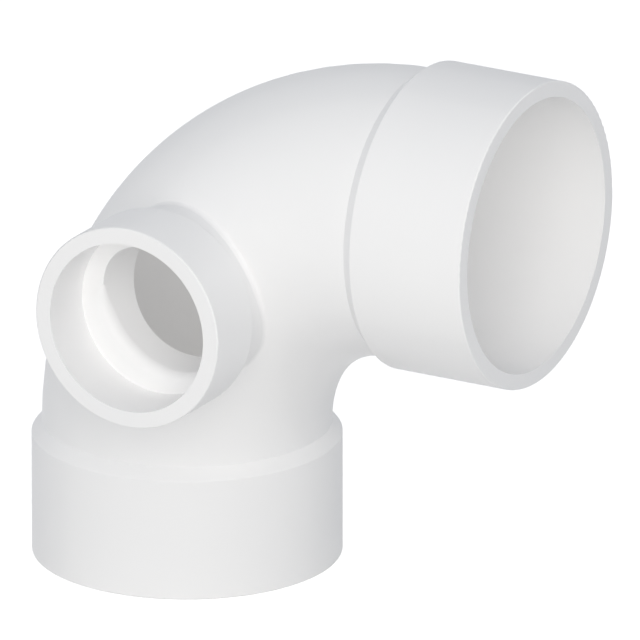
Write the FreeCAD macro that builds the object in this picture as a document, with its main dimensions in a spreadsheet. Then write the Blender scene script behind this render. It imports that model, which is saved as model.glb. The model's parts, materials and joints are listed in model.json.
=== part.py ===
import FreeCAD, Part
import math
import os
import Sketcher

# Side inlet reducing elbow for drain pipe, moulded in one piece. Millimetres, +Z up.
# The long-turn bend leaves a socket that stands on its mouth at the origin and ends in an
# equal socket facing +X. A smaller socket faces -Y and joins the bend near its middle.
# The mouth of the standing socket is centred on the origin, and its rim lies at Z = 0.

doc = FreeCAD.newDocument("side_inlet_reducing_elbow")
sheet = doc.addObject("Spreadsheet::Sheet", "sizes")

SIZES = {
    # Pipe that the two equal sockets of the run take, and the room around it across the
    # mouth and across the root of a socket
    "run_pipe": 88.9,
    "mouth_clearance": 0.5,
    "root_clearance": 0.14,
    # Each of these sockets has a straight entry, a taper, and a straight seat for the
    # pipe's end, which meets a stop that stands in from the pipe's outside
    "run_depth": 38.1,
    "entry_length": 6.0,
    "seat_length": 3.0,
    "stop_height": 1.95,
    "hub_wall": 5.15,
    # Bend between the two sockets: its wall and its centreline radius
    "body_wall": 4.05,
    "bend_radius": 84.0,
    # Side inlet: its place on the bend, in degrees from the standing leg, and how far
    # its axis lies outside the centreline
    "side_angle": 43.7,
    "side_offset": 0.6,
    # Side socket: the pipe that it takes, its depth and its wall
    "side_pipe": 55.9,
    "side_depth": 20.3,
    "side_hub_wall": 5.35,
    # Neck behind the side socket, from its shoulder to the crest of the bend
    "neck_wall": 6.4,
    "neck_length": 5.35,
    "neck_blend": 1.5,
    # Oval passage from the side socket into the bend, set across the bend
    "oval_width": 35.2,
    "oval_length": 46.0,
    # Behind the pipe stop of all three sockets: full hub, then a sloping shoulder
    "stop_backing": 1.9,
    "shoulder_length": 4.0,
    # Rounding of the outer corners of the sockets
    "corner_round": 0.5,
}

for row, (alias, value) in enumerate(SIZES.items(), start=1):
    sheet.set(f"A{row}", alias.replace("_", " "))
    sheet.set(f"B{row}", str(value))
    sheet.setAlias(f"B{row}", alias)
doc.recompute()

# Run: radii of a socket's mouth and seat, of the bend's bore and of the outside, then the
# lengths of a hub and of a leg, from its rim to the axis of the other leg
MOUTH_RADIUS = "((sizes.run_pipe + sizes.mouth_clearance) / 2)"
SEAT_RADIUS = "((sizes.run_pipe + sizes.root_clearance) / 2)"
BORE_RADIUS = "(sizes.run_pipe / 2 - sizes.stop_height)"
HUB_RADIUS = f"({MOUTH_RADIUS} + sizes.hub_wall)"
BODY_RADIUS = f"({BORE_RADIUS} + sizes.body_wall)"
HUB_LENGTH = "(sizes.run_depth + sizes.stop_backing)"
BEND_START = f"({HUB_LENGTH} + sizes.shoulder_length)"
LEG = f"({BEND_START} + sizes.bend_radius)"

# Side inlet: where its axis crosses the bend, its radii, and how far its parts stand out
# from the plane of the bend
SIDE_ARM = "(sizes.bend_radius + sizes.side_offset)"
SIDE_X = f"(sizes.bend_radius - {SIDE_ARM} * cos(sizes.side_angle))"
SIDE_Z = f"({BEND_START} + {SIDE_ARM} * sin(sizes.side_angle))"
SIDE_BORE_RADIUS = "((sizes.side_pipe + sizes.root_clearance) / 2)"
SIDE_HUB_RADIUS = f"({SIDE_BORE_RADIUS} + sizes.side_hub_wall)"
NECK_RADIUS = "(sizes.oval_length / 2 + sizes.neck_wall)"
NECK_END = f"({BODY_RADIUS} + sizes.neck_length)"
SIDE_HUB_END = f"({NECK_END} + sizes.shoulder_length)"
SIDE_STOP = f"({SIDE_HUB_END} + sizes.stop_backing)"
SIDE_REACH = f"({SIDE_STOP} + sizes.side_depth)"

# Oval passage: its axis meets the bend's own centreline
OVAL_X = "(sizes.bend_radius * (1 - cos(sizes.side_angle)))"
OVAL_Z = f"({BEND_START} + sizes.bend_radius * sin(sizes.side_angle))"

FULL_TURN = 360
QUARTER_TURN = 90


def measure(expression):
    """Value of an expression on the sheet, in millimetres or degrees."""
    value = sheet.evalExpression(expression)
    return float(getattr(value, "Value", value))


body = doc.addObject("PartDesign::Body", "side_inlet_elbow")
body.Label = "side_inlet_elbow"


def plane(role):
    """One of the body's own origin planes."""
    return next(item for item in body.Origin.OriginFeatures if item.Role == role)


def sketch_on(role, name, shift=("0", "0", "0"), turn="0"):
    """Sketch on an origin plane, moved along the plane's own axes and turned in it."""
    sketch = body.newObject("Sketcher::SketchObject", name)
    sketch.AttachmentSupport = [(plane(role), "")]
    sketch.MapMode = "FlatFace"
    base = FreeCAD.Vector(*[measure(part) for part in shift])
    sketch.AttachmentOffset = FreeCAD.Placement(
        base, FreeCAD.Rotation(FreeCAD.Vector(0, 0, 1), measure(turn)))
    for axis, part in zip("xyz", shift):
        if part != "0":
            sketch.setExpression(f"AttachmentOffset.Base.{axis}", part)
    if turn != "0":
        sketch.setExpression("AttachmentOffset.Rotation.Angle", turn)
    return sketch


def bind(sketch, constraint, name, expression):
    """Add a named dimension and tie it to the sheet."""
    index = sketch.addConstraint(constraint)
    sketch.renameConstraint(index, name)
    sketch.setExpression(f"Constraints.{name}", expression)


def place_point(sketch, geometry, end, name, across, up):
    """Hold a sketch point at a distance across and up from the sketch's origin."""
    for kind, axis, expression in (("DistanceX", -2, across), ("DistanceY", -1, up)):
        if expression == "0":
            sketch.addConstraint(Sketcher.Constraint("PointOnObject", geometry, end, axis))
        else:
            size = measure(expression)
            bind(sketch, Sketcher.Constraint(kind, -1, 1, geometry, end, size),
                 f"{name}_{kind[-1].lower()}", expression)


def add_profile(sketch, corners):
    """Closed outline through named corners, each (name, across, up)."""
    points = [FreeCAD.Vector(measure(across), measure(up), 0) for _, across, up in corners]
    count = len(points)
    for index in range(count):
        sketch.addGeometry(Part.LineSegment(points[index], points[(index + 1) % count]))
    for index in range(count):
        following = (index + 1) % count
        sketch.addConstraint(Sketcher.Constraint("Coincident", index, 2, following, 1))
    for index, (name, across, up) in enumerate(corners):
        place_point(sketch, index, 1, name, across, up)


def add_circle(sketch, radius, across="0"):
    """Circle of a given radius whose centre lies on the sketch's horizontal axis."""
    centre = FreeCAD.Vector(measure(across), 0, 0)
    circle = sketch.addGeometry(
        Part.Circle(centre, FreeCAD.Vector(0, 0, 1), measure(radius)))
    place_point(sketch, circle, 3, "centre", across, "0")
    bind(sketch, Sketcher.Constraint("Radius", circle, measure(radius)), "radius", radius)


def turn_profile(kind, name, sketch, axis, angle=FULL_TURN):
    """Revolve a sketch about one of its own axes, as material or as a groove."""
    feature = body.newObject(f"PartDesign::{kind}", name)
    feature.Profile = sketch
    feature.ReferenceAxis = (sketch, [axis])
    feature.Angle = angle
    sketch.Visibility = False
    doc.recompute()
    return feature


def round_edges(name, radius, belongs):
    """Round every edge of the body whose points, sampled along it, all pass the test."""
    samples = 5
    before = body.Tip
    names = []
    for number, edge in enumerate(before.Shape.Edges, start=1):
        if all(belongs(point) for point in edge.discretize(samples)):
            names.append(f"Edge{number}")
    feature = body.newObject("PartDesign::Fillet", name)
    feature.Base = (before, names)
    feature.setExpression("Radius", radius)
    doc.recompute()
    return feature


def near(first, second, allowed=0.01):
    """True for two lengths that are equal but for rounding."""
    return abs(first - second) < allowed


def from_side_axis(point):
    """Distance of a point from the axis of the side inlet."""
    return math.hypot(point.x - measure(SIDE_X), point.z - measure(SIDE_Z))


def from_centreline(point):
    """Distance of a point from the centreline of the bend."""
    out = math.hypot(point.x - measure("sizes.bend_radius"), point.z - measure(BEND_START))
    return math.hypot(out - measure("sizes.bend_radius"), point.y)


# Standing socket and its shoulder, turned about the vertical axis of its mouth
sketch = sketch_on("XZ_Plane", "standing_hub_outline")
add_profile(sketch, [
    ("centre_low", "0", "0"),
    ("rim", HUB_RADIUS, "0"),
    ("hub_top", HUB_RADIUS, HUB_LENGTH),
    ("shoulder_top", BODY_RADIUS, BEND_START),
    ("centre_high", "0", BEND_START),
])
turn_profile("Revolution", "standing_hub", sketch, "V_Axis")

# Long-turn bend: the body's round section carried through a quarter turn
sketch = sketch_on("XY_Plane", "bend_section", shift=("sizes.bend_radius", "0", BEND_START))
add_circle(sketch, BODY_RADIUS, across="-sizes.bend_radius")
turn_profile("Revolution", "bend", sketch, "V_Axis", angle=QUARTER_TURN)

# Outlet socket and its shoulder, turned about the level axis of the outlet
sketch = sketch_on("XZ_Plane", "outlet_hub_outline", shift=("0", LEG, "0"))
add_profile(sketch, [
    ("shoulder_centre", "sizes.bend_radius", "0"),
    ("shoulder_top", "sizes.bend_radius", BODY_RADIUS),
    ("hub_back", "sizes.bend_radius + sizes.shoulder_length", HUB_RADIUS),
    ("rim", LEG, HUB_RADIUS),
    ("rim_centre", LEG, "0"),
])
turn_profile("Revolution", "outlet_hub", sketch, "H_Axis")

# Side socket, its shoulder and its neck, which runs on into the bend
sketch = sketch_on("YZ_Plane", "side_hub_outline", shift=("0", SIDE_Z, SIDE_X))
add_profile(sketch, [
    ("rim_centre", f"-{SIDE_REACH}", "0"),
    ("rim", f"-{SIDE_REACH}", SIDE_HUB_RADIUS),
    ("hub_back", f"-{SIDE_HUB_END}", SIDE_HUB_RADIUS),
    ("neck_front", f"-{NECK_END}", NECK_RADIUS),
    ("neck_back", "0", NECK_RADIUS),
    ("neck_centre", "0", "0"),
])
turn_profile("Revolution", "side_hub", sketch, "H_Axis")

# Small blend where the neck grows out of the bend
round_edges("neck_blend", "sizes.neck_blend", lambda point: (
    near(from_side_axis(point), measure(NECK_RADIUS))
    and near(from_centreline(point), measure(BODY_RADIUS))))


def on_outer_corner(point):
    """True on the outer edge of a rim and on the edge between a socket and its shoulder."""
    standing = near(math.hypot(point.x, point.y), measure(HUB_RADIUS)) and (
        near(point.z, 0) or near(point.z, measure(HUB_LENGTH)))
    outlet = near(math.hypot(point.y, point.z - measure(LEG)), measure(HUB_RADIUS)) and (
        near(point.x, measure(LEG))
        or near(point.x, measure("sizes.bend_radius + sizes.shoulder_length")))
    side = near(from_side_axis(point), measure(SIDE_HUB_RADIUS)) and (
        near(point.y, -measure(SIDE_REACH)) or near(point.y, -measure(SIDE_HUB_END)))
    return standing or outlet or side


# Softened outer corners of the three sockets, as they leave the mould
round_edges("socket_corners", "sizes.corner_round", on_outer_corner)

# Clear bore of the bend
sketch = sketch_on("XY_Plane", "bore_section", shift=("sizes.bend_radius", "0", BEND_START))
add_circle(sketch, BORE_RADIUS, across="-sizes.bend_radius")
turn_profile("Groove", "bend_bore", sketch, "V_Axis", angle=QUARTER_TURN)

# Standing socket's bore: straight entry, taper, seat, pipe stop, and the way to the bend
sketch = sketch_on("XZ_Plane", "standing_bore_outline")
add_profile(sketch, [
    ("mouth_centre", "0", "0"),
    ("mouth", MOUTH_RADIUS, "0"),
    ("entry_end", MOUTH_RADIUS, "sizes.entry_length"),
    ("seat_start", SEAT_RADIUS, "sizes.run_depth - sizes.seat_length"),
    ("seat_end", SEAT_RADIUS, "sizes.run_depth"),
    ("stop", BORE_RADIUS, "sizes.run_depth"),
    ("bore_end", BORE_RADIUS, BEND_START),
    ("end_centre", "0", BEND_START),
])
turn_profile("Groove", "standing_bore", sketch, "V_Axis")

# Outlet socket's bore, the same from its own mouth
sketch = sketch_on("XZ_Plane", "outlet_bore_outline", shift=("0", LEG, "0"))
add_profile(sketch, [
    ("mouth_centre", LEG, "0"),
    ("mouth", LEG, MOUTH_RADIUS),
    ("entry_end", f"{LEG} - sizes.entry_length", MOUTH_RADIUS),
    ("seat_start", f"{LEG} - sizes.run_depth + sizes.seat_length", SEAT_RADIUS),
    ("seat_end", f"{LEG} - sizes.run_depth", SEAT_RADIUS),
    ("stop", f"{LEG} - sizes.run_depth", BORE_RADIUS),
    ("bore_end", "sizes.bend_radius", BORE_RADIUS),
    ("end_centre", "sizes.bend_radius", "0"),
])
turn_profile("Groove", "outlet_bore", sketch, "H_Axis")

# Side socket's bore: straight to the pipe stop
sketch = sketch_on("YZ_Plane", "side_bore_outline", shift=("0", SIDE_Z, SIDE_X))
add_profile(sketch, [
    ("mouth_centre", f"-{SIDE_REACH}", "0"),
    ("mouth", f"-{SIDE_REACH}", SIDE_BORE_RADIUS),
    ("seat_end", f"-{SIDE_STOP}", SIDE_BORE_RADIUS),
    ("stop_centre", f"-{SIDE_STOP}", "0"),
])
turn_profile("Groove", "side_bore", sketch, "H_Axis")

# Outline of the oval passage, its long axis across the bend
sketch = sketch_on("XZ_Plane", "oval_outline", shift=(OVAL_X, OVAL_Z, "0"),
                   turn="-sizes.side_angle")
oval_length, oval_width = measure("sizes.oval_length"), measure("sizes.oval_width")
oval = sketch.addGeometry(Part.Ellipse(
    FreeCAD.Vector(oval_length / 2, 0, 0), FreeCAD.Vector(0, oval_width / 2, 0),
    FreeCAD.Vector(0, 0, 0)))
sketch.exposeInternalGeometry(oval)
long_axis, short_axis = oval + 1, oval + 2
sketch.addConstraint(Sketcher.Constraint("Coincident", oval, 3, -1, 1))
sketch.addConstraint(Sketcher.Constraint("Horizontal", long_axis))
bind(sketch, Sketcher.Constraint("Distance", long_axis, oval_length),
     "long_axis", "sizes.oval_length")
bind(sketch, Sketcher.Constraint("Distance", short_axis, oval_width),
     "short_axis", "sizes.oval_width")
sketch.Visibility = False

# Oval passage, from the pipe stop to the bend's bore
oval_cut = body.newObject("PartDesign::Pocket", "oval_passage")
oval_cut.Profile = sketch
oval_cut.Reversed = True
oval_cut.setExpression("Length", SIDE_STOP)
doc.recompute()

# Every feature has to be sound, and the piece one valid solid, before it is written
for item in doc.Objects:
    if "Invalid" in item.State or "Error" in item.State:
        raise RuntimeError(f"{item.Label} failed: {item.State}")
shape = body.Shape
if shape.isNull() or not shape.isValid() or len(shape.Solids) != 1:
    raise RuntimeError("the elbow is not one valid solid")

os.makedirs("parts", exist_ok=True)
shape.exportStep("parts/side_inlet_elbow.step")
box = shape.optimalBoundingBox()
balance = shape.Solids[0].CenterOfMass
print(f"volume {shape.Volume:.0f} mm3, {len(shape.Faces)} faces")
print(f"X {box.XMin:.2f} to {box.XMax:.2f}, Y {box.YMin:.2f} to {box.YMax:.2f}, "
      f"Z {box.ZMin:.2f} to {box.ZMax:.2f}")
print(f"balances {math.hypot(balance.x, balance.y):.1f} mm from the standing socket's axis, "
      f"whose rim has a radius of {measure(HUB_RADIUS):.1f} mm")
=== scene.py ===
import json
import math

import bmesh
import bpy
from mathutils import Matrix, Vector


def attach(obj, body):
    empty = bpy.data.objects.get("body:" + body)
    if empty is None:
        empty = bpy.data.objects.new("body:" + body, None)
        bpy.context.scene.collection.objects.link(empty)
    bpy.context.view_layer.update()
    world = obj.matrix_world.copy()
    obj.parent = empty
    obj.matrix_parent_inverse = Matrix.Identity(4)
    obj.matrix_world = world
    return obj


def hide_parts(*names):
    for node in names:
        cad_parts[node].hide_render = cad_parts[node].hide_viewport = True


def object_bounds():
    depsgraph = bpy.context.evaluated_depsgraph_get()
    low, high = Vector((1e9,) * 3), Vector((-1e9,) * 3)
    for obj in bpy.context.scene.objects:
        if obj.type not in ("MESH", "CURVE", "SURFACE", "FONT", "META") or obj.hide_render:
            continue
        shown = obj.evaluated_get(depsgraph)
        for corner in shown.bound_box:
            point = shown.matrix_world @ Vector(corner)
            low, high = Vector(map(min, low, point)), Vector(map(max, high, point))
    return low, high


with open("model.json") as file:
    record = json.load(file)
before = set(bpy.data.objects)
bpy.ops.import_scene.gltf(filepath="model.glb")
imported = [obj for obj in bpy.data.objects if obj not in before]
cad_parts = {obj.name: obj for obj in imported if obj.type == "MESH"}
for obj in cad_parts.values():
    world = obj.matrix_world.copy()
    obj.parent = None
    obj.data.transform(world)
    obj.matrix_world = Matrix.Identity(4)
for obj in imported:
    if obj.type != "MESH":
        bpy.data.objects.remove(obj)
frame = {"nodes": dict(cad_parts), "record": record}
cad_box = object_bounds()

scene = bpy.context.scene


# The elbow: one injection moulding in white rigid PVC. The long-turn bend, its two run
# sockets and the side inlet leave the mould as a single piece, smooth inside and out.
# It stands on the mouth of its lower socket, as it would on a bench.

MM = 0.001
elbow = frame["nodes"]["side_inlet_elbow"]

# Where the side inlet's oval passage lies: centred on the bend's centre line, opening in
# the ledge that stops the pipe, and long across the bend.
BEND_CENTRE = Vector((84.0, 0.0, 44.0)) * MM
BEND_RADIUS = 84.0 * MM
OVAL_LENGTH, OVAL_WIDTH = 46.0 * MM, 35.2 * MM
OVAL_SEGMENTS = 180
# The passage's edge is sharp at the outside of the bend. Going towards the inside, a soft
# lip starts at LIP_START short of the oval's middle, and is full at LIP_FULL short of it.
SHARP_RADIUS, FIRST_RADIUS, LIP_RADIUS = 0.2 * MM, 1.5 * MM, 4.0 * MM
LIP_START, LIP_FULL = 18.3 * MM, 11.5 * MM
LIP_STEPS = 9
# Straight wall that is kept below the lip at least
WALL_BELOW_LIP = 1.0 * MM

# The outlet's wall is seen to run into the bend with no step, so its pipe stop is faired
# away over this length, down to a low step that slopes too gently to see.
RUN_BORE_RADIUS, SEAT_RADIUS = 42.5 * MM, 44.52 * MM
FAIRING_LENGTH = 40.0 * MM
STEP_LEFT, STEP_SLOPE_LENGTH = 0.1 * MM, 1.0 * MM

# The CAD's vertices are merged within this distance of each other
MERGE_DISTANCE = 0.001 * MM
# They lie on a plane, or on the run's bore, when they are this near to it. The passage's
# wall is known by its reach, as a share of the oval, and by how little it faces the mouth.
ON_PLANE, ON_BORE = 0.01 * MM, 0.02 * MM
ON_OVAL, FACES_MOUTH = 0.004, 0.4
SHARP_ANGLE = math.radians(30.0)


def mount(name):
    """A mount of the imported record."""
    return next(entry for entry in frame["record"]["mounts"] if entry["name"] == name)


outlet, side_inlet = mount("outlet_socket"), mount("side_inlet_socket")
stop_x = outlet["pos_m"][0] - outlet["dims"]["length_mm"] * MM
ledge_y = side_inlet["pos_m"][1] + side_inlet["dims"]["length_mm"] * MM
TO_MOUTH = Vector((0.0, -1.0, 0.0))
outer_side = Vector(side_inlet["pos_m"]) - BEND_CENTRE
outer_side.y = 0.0
outer_side.normalize()
along = -outer_side
sideways = TO_MOUTH.cross(along)
oval_centre = BEND_CENTRE + outer_side * BEND_RADIUS


def oval_reach(place):
    """How far out a place is as a share of the oval: 1 lies on the passage's wall."""
    arm = place - oval_centre
    return math.hypot(arm.dot(along) / (OVAL_LENGTH / 2), arm.dot(sideways) / (OVAL_WIDTH / 2))


def oval_outward(place):
    """Unit vector square to the passage's wall, pointing into the plastic."""
    arm = place - oval_centre
    return (along * (arm.dot(along) / OVAL_LENGTH ** 2)
            + sideways * (arm.dot(sideways) / OVAL_WIDTH ** 2)).normalized()


def lip_radius(place):
    """Radius of the passage's edge at this place round the oval."""
    past_start = (place - oval_centre).dot(along) + LIP_START
    if past_start < 0:
        return SHARP_RADIUS
    grown = min(past_start / (LIP_START - LIP_FULL), 1.0)
    return FIRST_RADIUS + (LIP_RADIUS - FIRST_RADIUS) * grown


# The moulding is a merged copy of the CAD node that keeps its exact surface normals. In it
# the outlet's pipe stop is faired away, and the ledge and the passage's wall are made
# again round a soft lip.
shape = bmesh.new()
shape.from_mesh(elbow.data)
corner_normal = shape.loops.layers.float_vector.new("corner_normal")
outward = shape.verts.layers.float_vector.new("outward")
edge_radius = shape.verts.layers.float.new("edge_radius")
surface_normal = shape.verts.layers.float_vector.new("surface_normal")
cad_normals = elbow.data.corner_normals
for face, polygon in zip(shape.faces, elbow.data.polygons):
    for corner, index in zip(face.loops, polygon.loop_indices):
        corner[corner_normal] = cad_normals[index].vector
bmesh.ops.remove_doubles(shape, verts=shape.verts, dist=MERGE_DISTANCE)

# The outlet's stop shades as a part of the wall, with normals that point to its axis.
stop_centre = Vector((stop_x, 0.0, outlet["pos_m"][2]))
for face in shape.faces:
    arms = [corner.vert.co - stop_centre for corner in face.loops]
    if all(abs(arm.x) < ON_PLANE and arm.length < SEAT_RADIUS + STEP_LEFT for arm in arms):
        for corner, arm in zip(face.loops, arms):
            corner[corner_normal] = -arm.normalized()

# The bore past the stop is widened about the run's centre line, which is straight in the
# outlet and round in the bend. The further past the stop, the less it is widened.
for vertex in shape.verts:
    if vertex.co.x > BEND_CENTRE.x:
        centre = Vector((vertex.co.x, 0.0, BEND_CENTRE.z + BEND_RADIUS))
        past_stop = stop_x - vertex.co.x
    else:
        from_bend = Vector((vertex.co.x, 0.0, vertex.co.z)) - BEND_CENTRE
        centre = BEND_CENTRE + from_bend.normalized() * BEND_RADIUS
        past_stop = (stop_x - BEND_CENTRE.x
                     + BEND_RADIUS * math.atan2(-from_bend.x, from_bend.z))
    arm = vertex.co - centre
    on_bore = abs(arm.length - RUN_BORE_RADIUS) < ON_BORE
    if on_bore and -ON_PLANE < past_stop < FAIRING_LENGTH:
        left = 1 - past_stop / FAIRING_LENGTH
        eased = left ** 2 * (3 - 2 * left)
        vertex.co += arm.normalized() * (SEAT_RADIUS - STEP_LEFT - RUN_BORE_RADIUS) * eased
        if past_stop < ON_PLANE:
            vertex.co.x -= STEP_SLOPE_LENGTH

# The CAD's ledge and passage come out, which opens the inner end of the socket's bore and
# the throat, where the passage meets the run.
cad_ledge = [face for face in shape.faces
             if all(abs(vertex.co.y - ledge_y) < ON_PLANE for vertex in face.verts)]
cad_passage = [face for face in shape.faces
               if abs(face.normal.y) < FACES_MOUTH
               and all(abs(oval_reach(vertex.co) - 1) < ON_OVAL for vertex in face.verts)]
bmesh.ops.delete(shape, geom=cad_ledge + cad_passage, context="FACES")
open_edges = [edge for edge in shape.edges if edge.is_boundary]
bore_edge = [edge for edge in open_edges if abs(edge.verts[0].co.y - ledge_y) < ON_PLANE]
throat_edge = [edge for edge in open_edges if edge not in bore_edge]

# A ring of the passage's wall below the lip. Each of its vertices keeps its way outwards,
# the radius of the edge above it and its surface normal.
ring_depth = LIP_RADIUS + WALL_BELOW_LIP
ring_place = Matrix.Translation(oval_centre + Vector((0.0, ledge_y + ring_depth, 0.0)))
oval_axes = Matrix((along * (OVAL_LENGTH / 2), sideways * (OVAL_WIDTH / 2), TO_MOUTH))
circle = bmesh.ops.create_circle(shape, segments=OVAL_SEGMENTS, radius=1.0,
                                 matrix=ring_place @ oval_axes.transposed().to_4x4())
for vertex in circle["verts"]:
    vertex[outward] = oval_outward(vertex.co)
    vertex[edge_radius] = lip_radius(vertex.co)
    vertex[surface_normal] = -vertex[outward]
wall_ring = list({edge for vertex in circle["verts"] for edge in vertex.link_edges})

# From the ring the wall goes straight towards the mouth as far as the lip, and the lip
# turns a quarter round into the ledge.
ring, lip_faces = wall_ring, []
for step in range(LIP_STEPS + 1):
    before, turn = (math.pi / 2 * max(count, 0) / LIP_STEPS for count in (step - 1, step))
    grown = bmesh.ops.extrude_edge_only(shape, edges=ring)["geom"]
    ring = [part for part in grown if isinstance(part, bmesh.types.BMEdge) and part.is_boundary]
    for vertex in {vertex for edge in ring for vertex in edge.verts}:
        radius = vertex[edge_radius]
        if step == 0:
            vertex.co += TO_MOUTH * (ring_depth - radius)
        vertex.co += TO_MOUTH * radius * (math.sin(turn) - math.sin(before))
        vertex.co += vertex[outward] * radius * (math.cos(before) - math.cos(turn))
        vertex[surface_normal] = TO_MOUTH * math.sin(turn) - vertex[outward] * math.cos(turn)
    lip_faces += [edge.link_faces[0] for edge in ring]

passage = bmesh.ops.bridge_loops(shape, edges=throat_edge + wall_ring)["faces"]
for face in passage:
    for corner in face.loops:
        corner[corner_normal] = -oval_outward(corner.vert.co)
ledge = [part for part in bmesh.ops.triangle_fill(shape, edges=bore_edge + ring,
                                                  normal=TO_MOUTH)["geom"]
         if isinstance(part, bmesh.types.BMFace)]
for face in ledge:
    for corner in face.loops:
        corner[corner_normal] = TO_MOUTH
for face in lip_faces:
    for corner in face.loops:
        corner[corner_normal] = corner.vert[surface_normal]
bmesh.ops.recalc_face_normals(shape, faces=shape.faces)

moulding_mesh = bpy.data.meshes.new("moulded_elbow")
shape.to_mesh(moulding_mesh)
shape.free()
moulding_mesh.shade_smooth()
moulding_mesh.set_sharp_from_angle(angle=SHARP_ANGLE)
moulding_mesh.normals_split_custom_set(
    [corner.vector for corner in moulding_mesh.attributes["corner_normal"].data])
for spare in ("corner_normal", "outward", "edge_radius", "surface_normal"):
    moulding_mesh.attributes.remove(moulding_mesh.attributes[spare])
moulding = bpy.data.objects.new("moulded_elbow", moulding_mesh)
scene.collection.objects.link(moulding)


def linear(hex_colour, alpha=1.0):
    """sRGB hex, such as F0F0F0, as the linear colour that a shader takes."""
    channels = [int(hex_colour[i:i + 2], 16) / 255 for i in (0, 2, 4)]
    return (*[c / 12.92 if c <= 0.04045 else ((c + 0.055) / 1.055) ** 2.4
              for c in channels], alpha)


def add_node(tree, kind, links=(), **settings):
    """Adds a node, sets its own settings and socket values, and links named inputs to it."""
    node = tree.nodes.new(kind)
    for name, value in settings.items():
        if hasattr(node, name):
            setattr(node, name, value)
        else:
            node.inputs[name.replace("_", " ")].default_value = value
    for socket, source in dict(links).items():
        tree.links.new(source, node.inputs[socket])
    return node


# Rigid PVC, pigmented with titanium dioxide, against a polished steel mould: an even
# white with a soft sheen. The melt leaves the faintest clouding across a wall, and the
# skin is finely dimpled where it shrank from the steel.
PVC_WHITE = linear("F2F2F2")
PVC_CLOUD = linear("EFEFF0")
# A little under rigid PVC's own 1.53, which would shine more than this skin does
PVC_IOR = 1.45
LEAST_ROUGHNESS, MOST_ROUGHNESS = 0.42, 0.5
# Width of the clouds, of the patches of duller sheen and of the dimples
CLOUD_MM, SHEEN_MM, DIMPLE_MM = 45.0, 12.0, 1.6
DIMPLE_DEPTH_MM, DIMPLE_STRENGTH = 0.004, 0.6

pvc = bpy.data.materials.new("moulded_white_pvc")
pvc.use_nodes = True
tree = pvc.node_tree
tree.nodes.clear()
place = add_node(tree, "ShaderNodeTexCoord").outputs["Object"]
clouds = add_node(tree, "ShaderNodeTexNoise", {"Vector": place},
                  Scale=1 / (CLOUD_MM * MM), Detail=2.0, Roughness=0.5)
colour = add_node(tree, "ShaderNodeMix", {"Factor": clouds.outputs["Fac"]}, data_type="RGBA")
colour.inputs["A"].default_value = PVC_WHITE
colour.inputs["B"].default_value = PVC_CLOUD
sheen = add_node(tree, "ShaderNodeTexNoise", {"Vector": place},
                 Scale=1 / (SHEEN_MM * MM), Detail=3.0)
roughness = add_node(tree, "ShaderNodeMapRange", {"Value": sheen.outputs["Fac"]},
                     To_Min=LEAST_ROUGHNESS, To_Max=MOST_ROUGHNESS)
dimples = add_node(tree, "ShaderNodeTexNoise", {"Vector": place},
                   Scale=1 / (DIMPLE_MM * MM), Detail=1.0)
skin = add_node(tree, "ShaderNodeBump", {"Height": dimples.outputs["Fac"]},
                Distance=DIMPLE_DEPTH_MM * MM, Strength=DIMPLE_STRENGTH)
surface = add_node(tree, "ShaderNodeBsdfPrincipled",
                   {"Base Color": colour.outputs["Result"],
                    "Roughness": roughness.outputs["Result"],
                    "Normal": skin.outputs["Normal"]}, IOR=PVC_IOR)
add_node(tree, "ShaderNodeOutputMaterial", {"Surface": surface.outputs["BSDF"]})

moulding_mesh.materials.append(pvc)
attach(moulding, "root")
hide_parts("side_inlet_elbow")


# Stage: a plain white floor that runs out past the frame. It keeps the soft shadow under
# the fitting, and shows to the camera as white paper.

FLOOR_HALF_WIDTH = 6.0
PAPER_MATT, PAPER_GLOW = linear("D4D4D4"), linear("D8D8D8")

floor_mesh = bpy.data.meshes.new("floor")
shape = bmesh.new()
bmesh.ops.create_grid(shape, x_segments=1, y_segments=1, size=FLOOR_HALF_WIDTH)
shape.to_mesh(floor_mesh)
shape.free()
floor = bpy.data.objects.new("floor", floor_mesh)
scene.collection.objects.link(floor)


def background_rays(tree):
    """1 on rays from the camera, and on those that a gloss or a glass sends on, else 0."""
    rays = add_node(tree, "ShaderNodeLightPath")
    direct = add_node(tree, "ShaderNodeMath",
                      {0: rays.outputs["Is Camera Ray"], 1: rays.outputs["Is Glossy Ray"]},
                      operation="MAXIMUM")
    return add_node(tree, "ShaderNodeMath",
                    {0: direct.outputs["Value"], 1: rays.outputs["Is Transmission Ray"]},
                    operation="MAXIMUM").outputs["Value"]


paper = bpy.data.materials.new("white_paper")
paper.use_nodes = True
tree = paper.node_tree
tree.nodes.clear()
matt = add_node(tree, "ShaderNodeBsdfDiffuse", Color=PAPER_MATT)
glow = add_node(tree, "ShaderNodeEmission", {"Strength": background_rays(tree)},
                Color=PAPER_GLOW)
both = add_node(tree, "ShaderNodeAddShader")
tree.links.new(matt.outputs["BSDF"], both.inputs[0])
tree.links.new(glow.outputs["Emission"], both.inputs[1])
add_node(tree, "ShaderNodeOutputMaterial", {"Surface": both.outputs["Shader"]})
floor_mesh.materials.append(paper)


# Light: an even sky, a touch cool, and large lamps, a touch warm. Two are soft boxes, one
# from the camera's direction and one from its left, and four are fills with no shadows.
# Light crosses the white bores many times, so it is followed for many bounces.

scene.cycles.diffuse_bounces = 12
SKY_LEVEL = 0.505
SKY_TINT = linear("F4F8FF")
BACKGROUND_WHITE = linear("FFFFFF")

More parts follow.
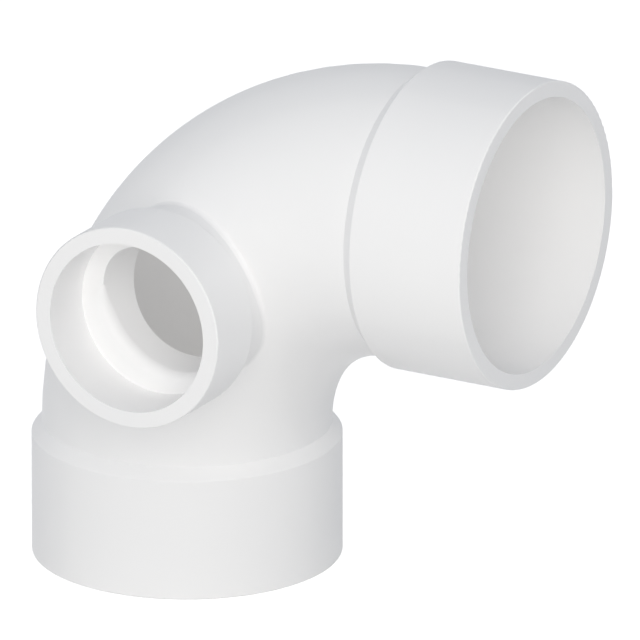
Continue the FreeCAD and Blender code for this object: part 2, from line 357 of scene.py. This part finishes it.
world = bpy.data.worlds.new("studio")
scene.world = world
world.use_nodes = True
tree = world.node_tree
tree.nodes.clear()
seen = background_rays(tree)
level = add_node(tree, "ShaderNodeMapRange", {"Value": seen}, To_Min=SKY_LEVEL, To_Max=1.0)
tint = add_node(tree, "ShaderNodeMix", {"Factor": seen}, data_type="RGBA")
tint.inputs["A"].default_value = SKY_TINT
tint.inputs["B"].default_value = BACKGROUND_WHITE
sky = add_node(tree, "ShaderNodeBackground",
               {"Strength": level.outputs["Result"], "Color": tint.outputs["Result"]})
add_node(tree, "ShaderNodeOutputWorld", {"Surface": sky.outputs["Background"]})

MIDDLE = (cad_box[0] + cad_box[1]) / 2
LAMP_DISTANCE = 2.0
LAMP_SIZE = 1.4
LAMP_TINT = linear("FFFCF6")[:3]
# Name, azimuth and elevation as for a camera there, its share of full white, and whether
# it casts shadows
LAMPS = (
    ("front_box", 30.0, 20.0, 0.385, True),
    ("left_box", -60.0, 20.0, 0.07, True),
    ("front_fill", 30.0, 20.0, 0.17, False),
    ("front_top_fill", 30.0, 55.0, 0.07, False),
    ("low_fill", 30.0, -80.0, 0.04, False),
    ("low_left_fill", -50.0, -30.0, 0.055, False),
)


def towards(azimuth, elevation):
    """Unit vector from the object towards a place at this azimuth and elevation."""
    a, e = math.radians(azimuth), math.radians(elevation)
    return Vector((math.sin(a) * math.cos(e), -math.cos(a) * math.cos(e), math.sin(e)))


for name, azimuth, elevation, share, shadow in LAMPS:
    lamp_data = bpy.data.lights.new(name, "AREA")
    lamp_data.shape = "DISK"
    lamp_data.size = LAMP_SIZE
    lamp_data.color = LAMP_TINT
    lamp_data.use_shadow = shadow
    lamp_data.energy = share * (math.pi * LAMP_DISTANCE) ** 2
    lamp = bpy.data.objects.new(name, lamp_data)
    scene.collection.objects.link(lamp)
    away = towards(azimuth, elevation)
    lamp.location = MIDDLE + away * LAMP_DISTANCE
    lamp.rotation_euler = away.to_track_quat("Z", "Y").to_euler()


# Camera: above the fitting and to its right, upright, and on a very long lens from far
# off, because the photograph shows the fitting with no perspective.

AZIMUTH, ELEVATION = 29.689, 19.476
LENS_MM = 1700.0
DISTANCE = 9.6905
# Middle of the frame, measured across and up it from the centre of the lower mouth
FRAME_ACROSS, FRAME_UP = 0.04254, 0.07280

back = towards(AZIMUTH, ELEVATION)
across = Vector((math.cos(math.radians(AZIMUTH)), math.sin(math.radians(AZIMUTH)), 0.0))
up = back.cross(across)
camera_data = bpy.data.cameras.new("camera")
camera_data.lens = LENS_MM
camera_data.clip_start, camera_data.clip_end = 1.0, 30.0
camera = bpy.data.objects.new("camera", camera_data)
scene.collection.objects.link(camera)
camera.location = back * DISTANCE + across * FRAME_ACROSS + up * FRAME_UP
camera.rotation_euler = back.to_track_quat("Z", "Y").to_euler()
scene.camera = camera

scene.view_settings.view_transform = "Standard"
